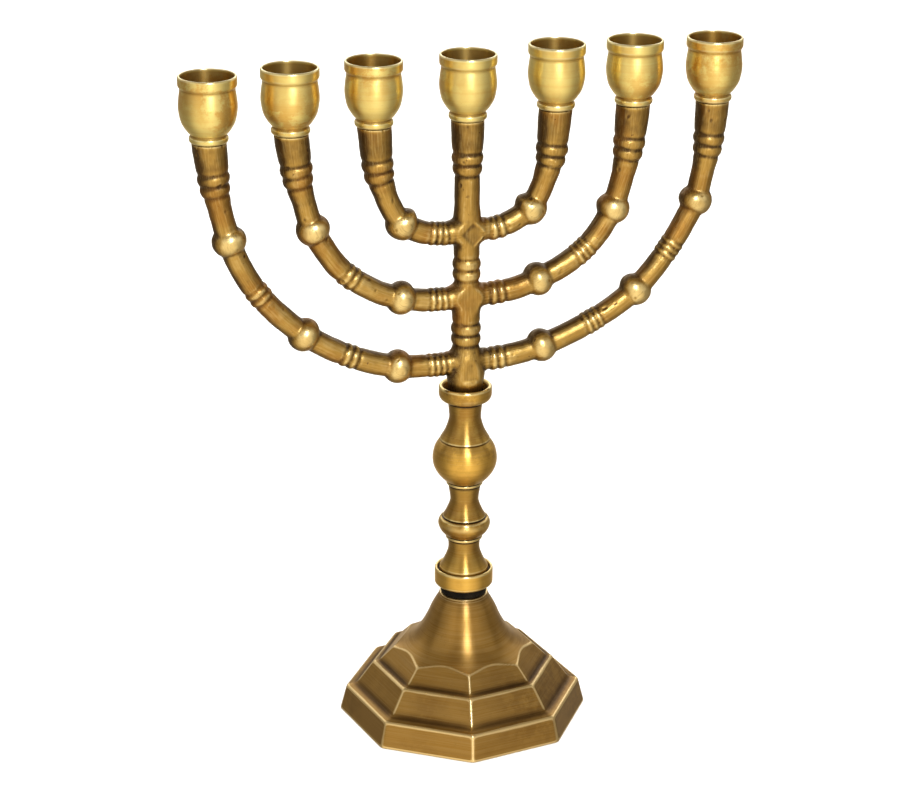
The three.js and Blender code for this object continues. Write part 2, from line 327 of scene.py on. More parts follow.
def make_base():
    """Three octagonal tiers that run into a round trumpet, hollow from below."""
    pad_bottom = BASE_TOP - BASE_PAD
    flare = [(60, 28.8)] + spline([(36, 29.3), (29.5, 31.3), (23.8, 35), (20.1, 39.1),
                                   (17, 44.5), (14.2, 50.9), (11.3, 56)], 60)
    flare.append((BASE_TOP_RADIUS, BASE_TOP))
    hollow = [(60, 26.9)] + spline([(34, 27.2), (27.8, 29.4), (22.3, 32.9), (18, 37.3),
                                    (14.6, 43), (11.8, 49.5)], 40)
    hollow.append((10.9, pad_bottom))

    tiers = rounded([(54.6, 0, 0), (BASE_CORNER_RADIUS, 0, 0.8), (53.3, 11.7, 1.0),
                     (48.7, 12.7, 0.9), (40.9, 23.4, 0.8), (38.3, 23.9, 0.6),
                     (28.8, 33.4, 1.5), (28.8, BASE_TOP - 0.8, 0)])
    inner = rounded([(26.5, 50, 0), (26.5, 30.5, 1.0), (36.1, 22.1, 0.8), (38.1, 20.9, 0.8),
                     (45.9, 10.2, 0.8), (50.5, 9.2, 0.8), (52.7, 0, 0.6), (54.6, 0, 0)])
    neck = rounded([(BASE_TOP_RADIUS, BASE_TOP - 0.7, 0), (BASE_TOP_RADIUS, BASE_TOP, 0.6),
                    (THREAD_HOLE, BASE_TOP, 0.3), (THREAD_HOLE, pad_bottom, 0.3),
                    (10.2, pad_bottom, 0.6), (11.2, 51.2, 0)])

    angles = octagon_angles(352)
    rings = []
    extra_highlight = []

    def add(outline, step, shape, painted_highlight=lambda radius, height, angle: 0):
        """Adds rings along an outline, bent to a shape, and notes where a painted highlight
        goes.
        """
        for radius, height in fine(outline, step):
            radii = [shape(radius, height, angle) for angle in angles]
            rings.append([(r * math.cos(a), r * math.sin(a), height)
                          for r, a in zip(radii, angles)])
            extra_highlight.extend(painted_highlight(radius, height, angle) for angle in angles)

    def outside(radius, height, angle):
        return blended_min(octagon(angle, radius), trumpet_radius(height, flare), 0.35)

    def inside(radius, height, angle):
        return blended_min(octagon(angle, radius), trumpet_radius(height, hollow), 0.9)

    def arch_highlight(radius, height, angle):
        """A painted highlight along the line where a facet meets the trumpet."""
        apart = abs(octagon(angle, radius) - trumpet_radius(height, flare))
        return 0.16 * max(0, 1 - apart / 0.4)

    add(tiers, 0.45, outside, arch_highlight)
    add(neck, 0.8, lambda radius, height, angle: radius)
    add(inner, 1.2, inside)
    base = skin("base_shell_visual", rings[:-1], closed=True, smooth_angle=50)
    # Wear with a painted highlight on the ridges and arches, patina with painted shade in the
    # creases between the tiers.
    mark_wear_highlight_and_shade(base, 0.5, gain=3.2, crease_shade_mm=3.2, crease_shade_gain=20.0,
              extra=np.array(extra_highlight[:-len(angles)]))
    return base


def make_threads(name, radius, bottom, top, pitch, centre, head_outline):
    """A screw: a threaded shank from bottom to top, with a turned head above it."""
    depth = 0.55 * pitch
    shank = [(0, bottom), (radius - 1.2 * depth, bottom), (radius, bottom + depth)]
    steps = math.ceil((top - bottom - depth) / pitch * 6)
    shank += [(radius, bottom + depth + (top - bottom - depth) * k / steps)
              for k in range(1, steps + 1)]

    def threaded(r, height, angle):
        if abs(r - radius) > 1e-6 or height > top - 0.4:
            return r
        turn = (height / pitch - angle / math.tau) % 1
        fade = min(1, (top - 0.4 - height) / pitch)
        return r - depth * fade * (1 - abs(2 * turn - 1))

    return turned(name, shank + head_outline, centre, segments=36, radius_at=threaded,
                  smooth_angle=35)


def make_base_bolt():
    """A hex-headed bolt with its head down."""
    low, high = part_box("base_bolt")
    bottom = low.z / MM
    head_top = bottom + HEX_HEIGHT
    corner = HEX_ACROSS_FLATS / math.sqrt(3)
    top = high.z / MM
    depth = 0.6
    steps = 150
    rings = []
    angles = np.arange(72) / 72 * math.tau

    def hexagon(angle, radius):
        off_side = (angle + math.pi / 6) % (math.pi / 3) - math.pi / 6
        return min(radius, HEX_ACROSS_FLATS / 2 / math.cos(off_side))

    head = [(0, bottom), (5.6, bottom), (6.3, bottom + 0.25), (corner, bottom + 0.9),
            (corner, head_top - 0.3), (corner - 0.3, head_top), (THREAD_RADIUS, head_top)]
    for radius, height in head:
        rings.append([(0, 0, height)] if radius == 0 else
                     [(hexagon(a + math.pi / 2, radius) * math.cos(a),
                       hexagon(a + math.pi / 2, radius) * math.sin(a), height)
                      for a in angles])
    rings.append([(THREAD_RADIUS * math.cos(a), THREAD_RADIUS * math.sin(a), head_top)
                  for a in angles])
    for height in np.linspace(head_top, top, steps + 1)[1:]:
        ring = []
        for a in angles:
            turn = (height / THREAD_PITCH - a / math.tau) % 1
            r = THREAD_RADIUS - depth * (1 - abs(2 * turn - 1))
            ring.append((r * math.cos(a), r * math.sin(a), height))
        rings.append(ring)
    rings.append([(0, 0, top)])
    return skin("base_bolt_visual", rings, smooth_angle=35)


def make_ring(name, node, hole, edge):
    """A flat ring with rounded edges, the size of its CAD node."""
    low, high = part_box(node)
    bottom, top, radius = low.z / MM, high.z / MM, high.x / MM
    outline = rounded([(hole, bottom), (radius, bottom), (radius, top), (hole, top)],
                      fillet=edge, closed=True)
    return turned(name, outline, closed=True)


# ---- stem ----

def lip(radius, middle):
    """A small rounded ridge, as left by the lathe tool below a ball or ring."""
    return rounded([(radius - 0.5, middle - 0.75), (radius, middle - 0.55, 0.25),
                    (radius, middle + 0.35, 0.25), (radius - 0.35, middle + 0.65)])


def make_stem():
    """The baluster: collar, neck, ring, neck, ball, neck, and a collar with a socket."""
    collar_foot = [(12.5, STEM_BOTTOM, 0.3), (13.1, 62.7, 0.5), (13.1, 69.3, 0.5),
                   (12.6, 70, 0.4), (11.9, 69.7, 0.3), (11.5, 67.9, 0.3), (10.8, 68, 0.3)]
    lower_neck = spline([(10.8, 70.4), (9.1, 73.4), (7.4, 77.6), (7.0, 80.6), (7.3, 83.9)], 30)
    ring = spline([(8.7, 86.1), (10.7, 88.5), (11.65, 91.4), (10.9, 93.6), (9.9, 94.3)], 24)
    middle_neck = spline([(9.6, 94.9), (8.2, 97.4), (6.6, 101.4), (6.4, 104), (7.3, 109.9)], 30)
    ball = spline([(8.9, 112.3), (11.9, 115.6), (13.8, 119.3), (14.3, 123.4), (13.3, 128),
                   (11.3, 131.2)], 46)
    upper_neck = spline([(11.1, 131.9), (8.8, 136), (7.3, 140.6), (7.1, 143.6),
                         (7.7, 149.4)], 34)
    collar = [(9, 149.9, 0.15), (10.9, 150.7, 1.2), (11.75, 152.4, 1.2), (11.75, 156.3, 0.5),
              (11.2, STEM_TOP, 0.35), (10.4, STEM_TOP, 0.35), (9.8, 156.2, 0.5),
              (9.4, SOCKET_FLOOR, 0.5), (THREAD_HOLE, SOCKET_FLOOR, 0.3)]
    bolt_hole = STEM_BOTTOM + BOLT_REACH + 2
    outline = [(0, bolt_hole), (THREAD_HOLE, bolt_hole), (THREAD_HOLE, STEM_BOTTOM)]
    outline += rounded([(THREAD_HOLE, STEM_BOTTOM)] + collar_foot + [lower_neck[0]])
    outline += lower_neck[1:] + lip(8.2, 84.9) + ring
    outline += [(9.3, 94.55)] + middle_neck + lip(8.1, 111)
    outline += ball + [(10.75, 131.5)] + upper_neck
    outline += rounded([upper_neck[-1]] + collar + [(THREAD_HOLE, STUD_BOTTOM - 1)])[1:]
    outline.append((0, STUD_BOTTOM - 1))
    stem = turned("stem_visual", fine(outline, 0.8), smooth_angle=50)
    # Wear with a painted highlight on the lips and ridges, patina with painted shade in the
    # grooves.
    mark_wear_highlight_and_shade(stem, 0.5, gain=1.4, crease_shade_mm=0.9, crease_shade_gain=9.0)
    from_axis = np.hypot(*coordinates(stem.data)[:, :2].T) / MM
    set_attribute(stem.data, "polished", np.clip((from_axis - 8.5) / 4.5, 0, 1))
    return stem


# ---- candelabrum ----

BRANCHES = {
    "left_inner": [(9, 227.2), (11.8, 227.2, "fine_rings"), (20.4, 228.8), (28.8, 233.4, "knop"),
                   (33.8, 240.6), (37, 248.8), (39.3, 257.5, "beads")],
    "left_middle": [(9, 197.6), (11.8, 197.5, "fine_rings"), (20, 198), (29.5, 200, "knop"),
                    (40.2, 203.8), (52.4, 211.8, "rings"), (60.8, 221.2),
                    (68, 234, "knop"), (72, 247), (74.5, 258.3, "beads")],
    "left_outer": [(9, 167.7), (12.3, 167.6, "fine_rings"), (22, 167.8), (31, 168.8, "knop"),
                   (41.7, 171.5), (52.8, 175.8, "rings"), (62.9, 181.2),
                   (72.5, 187.6, "knop"), (83, 197.1), (92, 207.5, "rings"), (99, 219),
                   (104.1, 232, "knop"), (107.6, 246), (109.8, 257.2, "beads")],
    "right_inner": [(9, 227.7), (13.2, 227.8, "rings"), (20.7, 230.3), (28.5, 235.3, "knop"),
                    (32.8, 242.2), (35.6, 250), (37.7, 258.5, "beads")],
    "right_middle": [(9, 198.2), (13.4, 198.3, "rings"), (23.3, 199.7), (32.7, 202.7, "knop"),
                     (43, 207.1), (53, 213.8, "three_rings"), (60.2, 221.5),
                     (66.7, 232.2, "knop"), (70.6, 245.4), (73.1, 258.8, "beads")],
    "right_outer": [(9, 168.1), (13.8, 168.2, "rings"), (25, 169.4), (34.8, 171.8, "knop"),
                    (46.4, 175.6), (58.4, 181, "three_rings"), (68.6, 186.6),
                    (78.3, 193.6, "knop"), (86.3, 201.9), (93.5, 211.3, "three_rings"),
                    (99.8, 221.6), (105.3, 232.5, "knop"), (108.4, 245.7),
                    (110.3, 257.5, "beads")],
}
BRANCH_CUPS = {"left_outer": 1, "left_middle": 2, "left_inner": 3,
               "right_inner": 5, "right_middle": 6, "right_outer": 7}


def cup_place(number):
    """(x, seat height) of a cup, in millimetres, from its CAD node."""
    low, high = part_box(f"cup_{number}")
    return (low.x + high.x) / 2 / MM, low.z / MM


# Bands of beads between grooves: (pitch, beads, height of a bead, depth of a groove).
RINGS = {"rings": (3.4, 2, 0.35, 0.55), "three_rings": (2.7, 3, 0.35, 0.5),
         "fine_rings": (2.7, 4, 0.3, 0.5), "beads": (4.8, 2, 0.5, 0.5)}


def ornament_radius(kind, distance, plain):
    """Radius of the bar at a distance from the middle of one of its ornaments."""
    if kind == "knop":
        if abs(distance) >= KNOP_HALF_LENGTH:
            return plain
        ball = KNOP_RADIUS * math.sqrt(1 - (distance / KNOP_HALF_LENGTH) ** 2)
        return max(plain, ball)
    pitch, beads, proud, groove = RINGS[kind]
    reach = pitch * beads / 2
    width = pitch * 0.36
    if abs(distance) >= reach + width:
        return plain
    along = (distance + reach) / pitch
    to_groove = abs(along - round(along)) * pitch
    sunk = groove * max(0, 1 - to_groove / width) ** 1.3
    if abs(distance) >= reach:
        return plain - sunk
    bead = proud * math.sqrt(max(0, 1 - (1 - 2 * to_groove / pitch) ** 2))
    return plain + bead - sunk


def plain_radius(height):
    """The bare bar: it widens quickly below the cups, then runs nearly straight."""
    share = min(max((height - FLARE_START) / (CUP_SEAT - FLARE_START), 0), 1)
    return BRANCH_RADIUS + math.sin(share * math.pi / 2) * (TIP_RADIUS - BRANCH_RADIUS)


def branch_line(name):
    """The branch's middle line as closely spaced points in the XZ plane, each with its
    distance along it, and the distances of its ornaments."""
    side = -1 if name.startswith("left") else 1
    x, seat = cup_place(BRANCH_CUPS[name])
    stations = [(0, BRANCHES[name][0][1])] + BRANCHES[name] + [(abs(x), seat + 1)]
    knots = [(side * s[0], s[1]) for s in stations]
    per_span = 16
    line = np.array(spline(knots, per_span * (len(knots) - 1)))
    along = np.r_[0, np.cumsum(np.linalg.norm(np.diff(line, axis=0), axis=1))]
    marks = [(s[2], along[i * per_span]) for i, s in enumerate(stations) if len(s) > 2]
    return line, along, marks


def make_branch(name):
    """A bar along the branch's line, with its knops and bands of beads."""
    line, along, marks = branch_line(name)
    angles = np.arange(40) / 40 * math.tau
    rings = []
    for distance in np.arange(0, along[-1], 0.5):
        x = np.interp(distance, along, line[:, 0])
        z = np.interp(distance, along, line[:, 1])
        ahead = min(distance + 0.6, along[-1])
        behind = max(distance - 0.6, 0)
        tangent = np.array([
            np.interp(ahead, along, line[:, 0]) - np.interp(behind, along, line[:, 0]),
            np.interp(ahead, along, line[:, 1]) - np.interp(behind, along, line[:, 1])])
        tangent /= np.linalg.norm(tangent)
        radius = plain_radius(z)
        for kind, middle in marks:
            shaped = ornament_radius(kind, distance - middle, radius)
            if abs(shaped - radius) > 1e-9:
                radius = shaped
                break
        rings.append([(x - tangent[1] * radius * math.cos(a), radius * math.sin(a),
                       z + tangent[0] * radius * math.cos(a)) for a in angles])
    first, last = rings[0], rings[-1]
    rings = [[tuple(np.mean(first, axis=0))]] + rings + [[tuple(np.mean(last, axis=0))]]
    return skin(f"{name}_bar", rings)


def filed_depth(height):
    """How far the shaft may reach forwards and back: the crossings were filed flat."""
    away, depth = min((abs(height - crossing), depth)
                      for crossing, depth in zip(CROSSINGS, FLAT_DEPTHS))
    return depth + max(0, away - 6.5) * 0.7


def make_shaft():
    """The centre bar: a boss that stands in the stem's socket, and three beaded waists."""
    outline = spline([(6.7, SOCKET_FLOOR + TOUCH_GAP), (8.4, 161.5), (7.9, CROSSINGS[0]),
                      (6.6, 173)], 30)
    waist = []
    for centre, plain, start, stop in ((181, 6.1, 175, 190), (210.5, 5.7, 202, 221),
                                       (257.5, 5.5, 240, CUP_SEAT + 1.5)):
        for height in np.arange(start, stop, 0.4):
            radius = max(plain, plain_radius(height) - 0.1)
            waist.append((ornament_radius("beads", height - centre, radius), height))
        waist.append((6.8, stop + 4) if stop < CUP_SEAT else (TIP_RADIUS, stop))
    points = [(0, SOCKET_FLOOR + TOUCH_GAP)] + outline + waist
    points.append((0, points[-1][1]))

    def filed(radius, height, angle):
        return min(radius, filed_depth(height) / max(abs(math.sin(angle)), 1e-6))

    return turned("shaft_bar", points, segments=64, radius_at=filed)


def make_crossing(height):
    """A swelling round a crossing, filed flat in front and behind, with webs to the arms."""
    half = 7.4
    rings = []
    for x in np.linspace(-half, half, 31):
        swell = abs(math.cos(math.pi / 2 * x / half)) ** 1.2
        tall = BRANCH_RADIUS + 3.4 * swell
        deep = BRANCH_RADIUS + 2.2 * swell
        ring = []
        for k in range(40):
            angle = k / 40 * math.tau
            z = height + math.sin(angle) * tall
            limit = filed_depth(z)
            y = min(max(math.cos(angle) * deep, -limit), limit)
            ring.append((x, y, z))
        rings.append(ring)
    rings = [[(-half, 0, height)]] + rings + [[(half, 0, height)]]
    return skin("crossing_block", rings)


def scrape_lozenge(obj):
    """A shallow lozenge scraped into the front of the highest crossing."""
    co = coordinates(obj.data) / MM
    reach = np.abs(co[:, 0] - 1.4) + np.abs(co[:, 2] - CROSSINGS[2] + 0.3)
    inside = np.clip((5.6 - reach) / 0.6, 0, 1) * (co[:, 1] < -4.5)
    co[:, 1] += 0.28 * inside
    obj.data.vertices.foreach_set("co", (co * MM).ravel())


def tip_cutters():
    """Tapped holes for the cups' screws and the level seats above them, and the stud's
    hole in the boss."""
    cutters = []
    for number in range(1, 8):
        x, seat = cup_place(number)
        tip = seat - TOUCH_GAP
        outline = [(0, tip - SCREW_REACH - 2), (SCREW_HOLE, tip - SCREW_REACH - 1.5),
                   (SCREW_HOLE, tip - 0.4), (SCREW_HOLE + 0.4, tip), (11, tip), (11, tip + 8),
                   (0, tip + 8)]
        cutters.append(turned("tip_cut", outline, (x, 0, 0), segments=32))
    top = 166.5
    boss = [(0, top), (THREAD_HOLE, top - 1), (THREAD_HOLE, SOCKET_FLOOR + 0.9),
            (THREAD_HOLE + 0.6, SOCKET_FLOOR - 3), (0, SOCKET_FLOOR - 3)]
    cutters.append(turned("boss_cut", boss, segments=32))
    return join("cutters", cutters)


def roughen(obj):
    """Hand-cast unevenness and a few sand pits, pushed along the normals."""
    mesh = obj.data
    co = coordinates(mesh)
    normal = vertex_normals(mesh)
    push = np.empty(len(co))
    for i, point in enumerate(co):
        p = Vector(point)
        wave = noise.noise(p * 120) * 0.18 + noise.noise(p * 330) * 0.08
        pit = max(0.0, noise.noise(p * 420 + Vector((7, 3, 1))) - 0.56)
        push[i] = wave - min(pit * 2.0, 0.22)
    mesh.vertices.foreach_set("co", (co + normal * push[:, None] * MM).ravel())
    mesh.update()


def mark_flow(obj):
    """Stores in "flow" the distance along the nearest bar and the place round it, so
    that file marks can run along the bars."""
    lines = []
    for name in BRANCHES:
        line, along, _ = branch_line(name)
        tangent = np.gradient(line, axis=0)
        tangent /= np.linalg.norm(tangent, axis=1)[:, None]
        lines += [((x, 0, z), d, (tx, tz)) for (x, z), d, (tx, tz)
                  in zip(line, along, tangent) if abs(x) > 8]
    lines += [((0, 0, z), z, (0, 1)) for z in np.arange(150, 280, 1.0)]
    tree = kdtree.KDTree(len(lines))
    for i, (point, _, _) in enumerate(lines):
        tree.insert(Vector(point) * MM, i)
    tree.balance()
    co = coordinates(obj.data)
    flow = np.empty_like(co)
    for i, point in enumerate(co):
        _, index, _ = tree.find(point)
        centre, distance, (tx, tz) = lines[index]
        away = point / MM - np.array(centre)
        across = away[0] * -tz + away[2] * tx
        lengthwise = away[0] * tx + away[2] * tz
        flow[i] = (distance + lengthwise, across, away[1])
    set_attribute(obj.data, "flow", flow)


def mark_polished(obj):
    """Stores in "polished" the knops, which stand proud and are rubbed bright; their fronts also
    get a painted highlight in the material.
    """
    middles = []
    for name in BRANCHES:
        line, along, marks = branch_line(name)
        middles += [(np.interp(at, along, line[:, 0]), 0, np.interp(at, along, line[:, 1]))
                    for kind, at in marks if kind == "knop"]
    away = np.min([np.linalg.norm(coordinates(obj.data) / MM - middle, axis=1)
                   for middle in middles], axis=0)
    set_attribute(obj.data, "polished", np.clip((8.1 - away) / 0.9, 0, 1))


def mark_front_and_back_faces(obj):
    """Stores in "filed" how squarely the surface faces front or back: those faces were filed and
    polished, and the sides between them, the bars' tops and bottoms, kept their patina and are
    painted darker with painted shade besides."""
    set_attribute(obj.data, "filed", np.abs(vertex_normals(obj.data)[:, 1]))


def make_casting():
    """All the bars melted into one skin, then cast rough, drilled and marked."""
    bars = [make_branch(name) for name in BRANCHES]
    bars.append(make_shaft())
    bars += [make_crossing(height) for height in CROSSINGS]
    casting = join("candelabrum_casting", bars)
    apply_modifier(casting, "REMESH", mode="VOXEL", voxel_size=0.55 * MM, use_smooth_shade=True)
    apply_modifier(casting, "SMOOTH", factor=0.5, iterations=3)
    scrape_lozenge(casting)
    roughen(casting)
    cut(casting, tip_cutters())
    casting.data.polygons.foreach_set("use_smooth", [True] * len(casting.data.polygons))
    casting.data.set_sharp_from_angle(angle=math.radians(50))
    # Wear with a painted highlight on ridges, patina with painted shade in the hollows.
    mark_wear_highlight_and_shade(casting, 0.7, gain=1.6, crease_shade_mm=1.8, crease_shade_gain=7.5)
    mark_flow(casting)
    mark_polished(casting)
    mark_front_and_back_faces(casting)
    return casting


# ---- cups ----

def cup_outline():
    """Foot ring, bowl, band and bore, closed round the cup's wall and floor."""
    bowl = spline([(7.55, 3.4), (9.35, 5.5), (11.3, 9.1), (12.24, 14.4), (12.0, 18.6),
                   (11.5, 22.1)], 44)
    inner_bowl = spline([(CANDLE_BORE, 13.6), (10.3, 10.6), (7.3, CUP_FLOOR)], 16)
    foot = rounded([(SCREW_HOLE, 0, 0.2), (7.5, 0, 0.5), (8.2, 0.8, 0.8), (8.2, 2.3, 0.8),
                    (7.5, 3, 0.2), bowl[0]])
    band = rounded([bowl[-1], (11.5, 22.9, 0.6), (CUP_RADIUS, 24.0, 0.7),
                    (CUP_RADIUS, CUP_HEIGHT - 0.6, 0.4), (CUP_RADIUS - 0.4, CUP_HEIGHT, 0.3),
                    (CANDLE_BORE + 0.15, CUP_HEIGHT, 0.1), (CANDLE_BORE, CUP_HEIGHT - 0.3, 0.1),
                    inner_bowl[0]])
    floor = rounded([inner_bowl[-1], (HEAD_RECESS_RADIUS, CUP_FLOOR, 0.2),
                     (HEAD_RECESS_RADIUS, CUP_FLOOR - HEAD_RECESS, 0.3),
                     (SCREW_HOLE, CUP_FLOOR - HEAD_RECESS, 0.2), (SCREW_HOLE, 0.3)])
    return foot + bowl[1:] + band[1:] + inner_bowl[1:] + floor[1:]


def make_cup(number):
    x, seat = cup_place(number)
    cup = turned(f"cup_{number}_visual", fine(cup_outline(), 1.0), (x, 0, seat), closed=True,
                 smooth_angle=45)
    # Wear with a painted highlight on the rims, patina with painted shade in the creases.
    mark_wear_highlight_and_shade(cup, 0.6, gain=0.8, crease_shade_mm=1.5, crease_shade_gain=4.0)
    from_seat = coordinates(cup.data) / MM - (x, 0, seat)
    outward = (vertex_normals(cup.data)[:, :2] * from_seat[:, :2]).sum(1)
    depth = np.clip(CUP_HEIGHT - from_seat[:, 2] - 0.2, 0, 1)
    # The bore, which the material darkens as painted shade.
    set_attribute(cup.data, "bore", (outward < 1) * (from_seat[:, 2] > CUP_FLOOR - 0.2) * depth)
    return cup


def make_cup_screw(number):
    """A slotted cheese-head screw; its heights start at the cup's seat."""
    x, seat = cup_place(number)
    under = CUP_FLOOR - HEAD_RECESS + TOUCH_GAP
    top = under + SCREW_HEAD
    head = rounded([(SCREW_RADIUS, under), (SCREW_HEAD_RADIUS, under, 0.15),
                    (SCREW_HEAD_RADIUS, top, 0.4), (0, top)])[1:]
    screw = make_threads(f"cup_screw_{number}_visual", SCREW_RADIUS, -SCREW_REACH, under,
                         SCREW_PITCH, (x, 0, seat), head)
    bpy.ops.mesh.primitive_cube_add(size=1, location=(x * MM, 0, (seat + top) * MM))
    slot = bpy.context.object
    slot.scale = (14 * MM, 1.2 * MM, 2.4 * MM)
    cut(screw, slot)
    return screw


def make_stud():
    low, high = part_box("candelabrum_stud")
    top = high.z / MM
    end = [(THREAD_RADIUS - 0.6, top), (0, top)]
    return make_threads("candelabrum_stud_visual", THREAD_RADIUS, low.z / MM, top - 0.6,
                        THREAD_PITCH, (0, 0, 0), end)


# ---- materials ----

class Nodes:
    """A small helper that makes and links one material's nodes."""

    def __init__(self, name):
        self.material = bpy.data.materials.new(name)
        self.material.use_nodes = True
        self.tree = self.material.node_tree
        self.shader = self.tree.nodes["Principled BSDF"]

    def add(self, kind, inputs=None, **settings):
        node = self.tree.nodes.new(kind)
        for key, value in settings.items():
            setattr(node, key, value)
        for key, value in (inputs or {}).items():
            if isinstance(value, bpy.types.NodeSocket):
                self.tree.links.new(value, node.inputs[key])
            else:
                node.inputs[key].default_value = value
        return node

    def link(self, source, socket):
        self.tree.links.new(source, self.shader.inputs[socket])

    def noise(self, vector, scale, detail=3.0, roughness=0.55):
        node = self.add("ShaderNodeTexNoise", {"Vector": vector, "Scale": scale,
                                               "Detail": detail, "Roughness": roughness})
        return node.outputs["Fac"]

    def stretched(self, vector, scale):
        node = self.add("ShaderNodeMapping", {"Vector": vector, "Scale": scale})
        return node.outputs["Vector"]

    def attribute(self, name, output="Fac"):
        return self.add("ShaderNodeAttribute", attribute_name=name).outputs[output]

    def place(self):
        return self.add("ShaderNodeTexCoord").outputs["Object"]

    def math(self, operation, a, b=0.0, clamp=False):
        node = self.add("ShaderNodeMath", {0: a, 1: b}, operation=operation, use_clamp=clamp)
        return node.outputs[0]

    def ramp(self, value, low, high, to_low=0.0, to_high=1.0):
        node = self.add("ShaderNodeMapRange", {"Value": value, "From Min": low,
                                               "From Max": high, "To Min": to_low,
                                               "To Max": to_high})
        return node.outputs["Result"]

    def mix(self, factor, a, b):
        node = self.add("ShaderNodeMix", data_type="RGBA")
        for socket, value in ((0, factor), (6, a), (7, b)):
            if isinstance(value, bpy.types.NodeSocket):
                self.tree.links.new(value, node.inputs[socket])
            else:
                node.inputs[socket].default_value = value
        return node.outputs[2]

    def bump(self, height, strength, distance):
        node = self.add("ShaderNodeBump", {"Height": height, "Strength": strength,
                                           "Distance": distance})
        self.link(node.outputs["Normal"], "Normal")


def brushed_brass(name, bright, dull, stain, dark, lines, roughness, anisotropy, shade_and_dirt,
                  line_depth, lacquer):
    """Turned or brushed brass under a thin lacquer. lines stretches the brushing: large along
    the direction that the lines cross. bright is worn metal, and a painted highlight on edges
    and ridges, dull is its antiqued face, stain clouds it, and dark is patina with painted shade
    in hollows, painted shade inside the cups' bores and fine specks of dirt."""
    n = Nodes(name)
    rubbed = tuple(min(1, 2 * v) for v in dull[:3]) + (1,)
    place = n.place()
    wear_and_highlight = n.attribute("wear_and_highlight")
    crease_shade_and_patina = n.attribute("crease_shade_and_patina")
    brushing = n.noise(n.stretched(place, lines), 1.0, detail=4.0, roughness=0.7)
    coarse = n.noise(n.stretched(place, tuple(v * 0.22 for v in lines)), 1.0, detail=2.0)
    cloud = n.noise(place, 60.0, detail=4.0, roughness=0.6)
    drift = n.math("MULTIPLY", n.math("SUBTRACT", cloud, 0.5), 0.3)
    region = n.noise(place, 24.0, detail=1.0)
    mottle = n.noise(place, 150.0, detail=6.0, roughness=0.7)
    patches = n.math("MULTIPLY", n.ramp(region, 0.46, 0.6), n.ramp(mottle, 0.44, 0.54))
    speck = n.noise(place, 900.0, detail=1.0)

    # Wear with a painted highlight on edges and ridges.
    worn_and_highlit = n.ramp(n.math("ADD", wear_and_highlight, drift), 0.60, 0.76)
    streaks = n.math("MULTIPLY", n.math("SUBTRACT", brushing, 0.5), 0.5)
    # Patina with painted shade in the hollows.
    hollow_shade_and_patina = n.ramp(n.math("SUBTRACT", n.math("SUBTRACT", crease_shade_and_patina, drift), streaks), 0.06, 0.85)
    face = n.mix(n.math("MULTIPLY", n.attribute("polished"), 0.85), dull, rubbed)
    face = n.mix(n.math("MULTIPLY", n.ramp(cloud, 0.5, 0.68), 0.45), face, stain)
    face = n.mix(n.math("MULTIPLY", patches, 0.75), face, stain)
    face = n.mix(n.math("MULTIPLY", n.ramp(brushing, 0.35, 0.7), 0.16), face, bright)
    face = n.mix(n.math("MULTIPLY", n.ramp(coarse, 0.5, 0.3), 0.25), face, stain)
    face = n.mix(n.math("MULTIPLY", worn_and_highlit, 0.9), face, bright)
    face = n.mix(n.math("MULTIPLY", hollow_shade_and_patina, shade_and_dirt), face, dark)
    # Painted shade inside the cups' bores.
    face = n.mix(n.math("MULTIPLY", n.attribute("bore"), 0.68), face, dark)
    spots = n.math("MULTIPLY", n.ramp(speck, 0.73, 0.8), 0.3 * shade_and_dirt)
    n.link(n.mix(spots, face, dark), "Base Color")

    rough = n.math("ADD", n.ramp(brushing, 0.3, 0.7, roughness - 0.04, roughness + 0.06),
                   n.math("MULTIPLY", hollow_shade_and_patina, 0.2))
    rough = n.math("SUBTRACT", rough, n.math("MULTIPLY", worn_and_highlit, 0.05), clamp=True)
    n.link(rough, "Roughness")
    n.shader.inputs["Metallic"].default_value = 1.0
    n.shader.inputs["Anisotropic"].default_value = anisotropy
    n.shader.inputs["Anisotropic Rotation"].default_value = 0.25
    n.shader.inputs["Coat Weight"].default_value = lacquer
    n.shader.inputs["Coat Roughness"].default_value = 0.22
    tangent = n.add("ShaderNodeTangent", direction_type="RADIAL", axis="Z")
    n.link(tangent.outputs[0], "Tangent")
    height = n.math("ADD", brushing, n.math("MULTIPLY", coarse, 0.8))
    n.bump(height, 0.3, line_depth)
    return n.material


